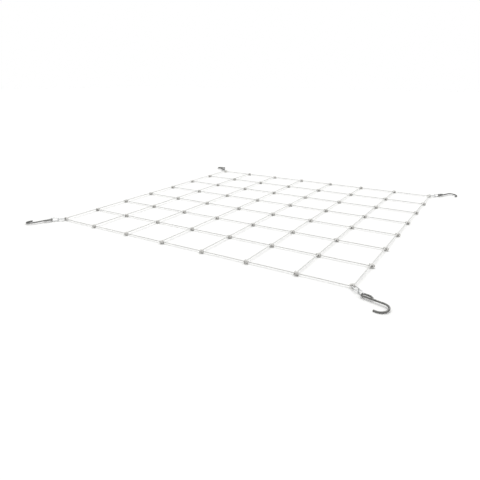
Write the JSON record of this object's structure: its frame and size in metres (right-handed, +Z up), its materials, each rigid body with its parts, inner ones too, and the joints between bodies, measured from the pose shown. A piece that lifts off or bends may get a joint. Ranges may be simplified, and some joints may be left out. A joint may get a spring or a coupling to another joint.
{
  "type": "cargo climbing net",
  "caption": "Flat square net of thin white cord knotted at every crossing, with a short chain and an open steel J hook at each corner.",
  "frame": {"origin": "middle of the net, on the ground that the knots rest on", "axes": "+X along the front edge to the right, +Y from the front edge to the back edge, +Z up, square to the net"},
  "size_m": [2.0885, 2.0832, 0.023],
  "materials": {
    "net_cord": "laid off-white polyester cord, slightly fuzzy",
    "knot_cord": "the same cord pulled tight and greyed by handling",
    "eye_cord": "the same cord bound round the corner",
    "link_steel": "bright zinc plated steel wire",
    "hook_steel": "dark polished steel bar with a soft highlight"
  },
  "bodies": {
    "net": {"front_border_cord": "net_cord", "back_border_cord": "net_cord", "left_border_cord": "net_cord", "right_border_cord": "net_cord", "long_cord_1": "net_cord", "long_cord_2": "net_cord", "long_cord_3": "net_cord", "long_cord_4": "net_cord", "long_cord_5": "net_cord", "long_cord_6": "net_cord", "cross_cord_1": "net_cord", "cross_cord_2": "net_cord", "cross_cord_3": "net_cord", "cross_cord_4": "net_cord", "cross_cord_5": "net_cord", "cross_cord_6": "net_cord", "knots_row_0": "knot_cord", "knots_row_1": "knot_cord", "knots_row_2": "knot_cord", "knots_row_3": "knot_cord", "knots_row_4": "knot_cord", "knots_row_5": "knot_cord", "knots_row_6": "knot_cord", "knots_row_7": "knot_cord", "corner_eye_front_right": "eye_cord", "corner_eye_back_right": "eye_cord", "corner_eye_back_left": "eye_cord", "corner_eye_front_left": "eye_cord"},
    "inner_link_front_right": {"inner_link_front_right": "link_steel"},
    "outer_link_front_right": {"outer_link_front_right": "link_steel"},
    "hook_front_right": {"hook_front_right": "hook_steel"},
    "inner_link_back_right": {"inner_link_back_right": "link_steel"},
    "outer_link_back_right": {"outer_link_back_right": "link_steel"},
    "hook_back_right": {"hook_back_right": "hook_steel"},
    "inner_link_back_left": {"inner_link_back_left": "link_steel"},
    "outer_link_back_left": {"outer_link_back_left": "link_steel"},
    "hook_back_left": {"hook_back_left": "hook_steel"},
    "inner_link_front_left": {"inner_link_front_left": "link_steel"},
    "outer_link_front_left": {"outer_link_front_left": "link_steel"},
    "hook_front_left": {"hook_front_left": "hook_steel"}
  },
  "joints": [
    {"name": "inner_link_lift_front_right", "type": "hinge", "parent": "net", "child": "inner_link_front_right", "pos_m": [0.87429, -0.87429, 0.0115], "axis": [-0.7071, -0.7071, 0], "range_deg": [-60, 60]},
    {"name": "outer_link_lift_front_right", "type": "hinge", "parent": "inner_link_front_right", "child": "outer_link_front_right", "pos_m": [0.90505, -0.90505, 0.0115], "axis": [-0.7071, -0.7071, 0], "range_deg": [-70, 70]},
    {"name": "hook_swing_front_right", "type": "hinge", "parent": "outer_link_front_right", "child": "hook_front_right", "pos_m": [0.93206, -0.93206, 0.0115], "axis": [0, 0, 1], "range_deg": [-75, 75]},
    {"name": "inner_link_lift_back_right", "type": "hinge", "parent": "net", "child": "inner_link_back_right", "pos_m": [0.87429, 0.87429, 0.0115], "axis": [0.7071, -0.7071, 0], "range_deg": [-60, 60]},
    {"name": "outer_link_lift_back_right", "type": "hinge", "parent": "inner_link_back_right", "child": "outer_link_back_right", "pos_m": [0.90505, 0.90505, 0.0115], "axis": [0.7071, -0.7071, 0], "range_deg": [-70, 70]},
    {"name": "hook_swing_back_right", "type": "hinge", "parent": "outer_link_back_right", "child": "hook_back_right", "pos_m": [0.93206, 0.93206, 0.0115], "axis": [0, 0, 1], "range_deg": [-75, 75]},
    {"name": "inner_link_lift_back_left", "type": "hinge", "parent": "net", "child": "inner_link_back_left", "pos_m": [-0.87429, 0.87429, 0.0115], "axis": [0.7071, 0.7071, 0], "range_deg": [-60, 60]},
    {"name": "outer_link_lift_back_left", "type": "hinge", "parent": "inner_link_back_left", "child": "outer_link_back_left", "pos_m": [-0.90505, 0.90505, 0.0115], "axis": [0.7071, 0.7071, 0], "range_deg": [-70, 70]},
    {"name": "hook_swing_back_left", "type": "hinge", "parent": "outer_link_back_left", "child": "hook_back_left", "pos_m": [-0.93206, 0.93206, 0.0115], "axis": [0, 0, 1], "range_deg": [-75, 75]},
    {"name": "inner_link_lift_front_left", "type": "hinge", "parent": "net", "child": "inner_link_front_left", "pos_m": [-0.87429, -0.87429, 0.0115], "axis": [-0.7071, 0.7071, 0], "range_deg": [-60, 60]},
    {"name": "outer_link_lift_front_left", "type": "hinge", "parent": "inner_link_front_left", "child": "outer_link_front_left", "pos_m": [-0.90505, -0.90505, 0.0115], "axis": [-0.7071, 0.7071, 0], "range_deg": [-70, 70]},
    {"name": "hook_swing_front_left", "type": "hinge", "parent": "outer_link_front_left", "child": "hook_front_left", "pos_m": [-0.93206, -0.93206, 0.0115], "axis": [0, 0, 1], "range_deg": [-75, 75]}
  ]
}
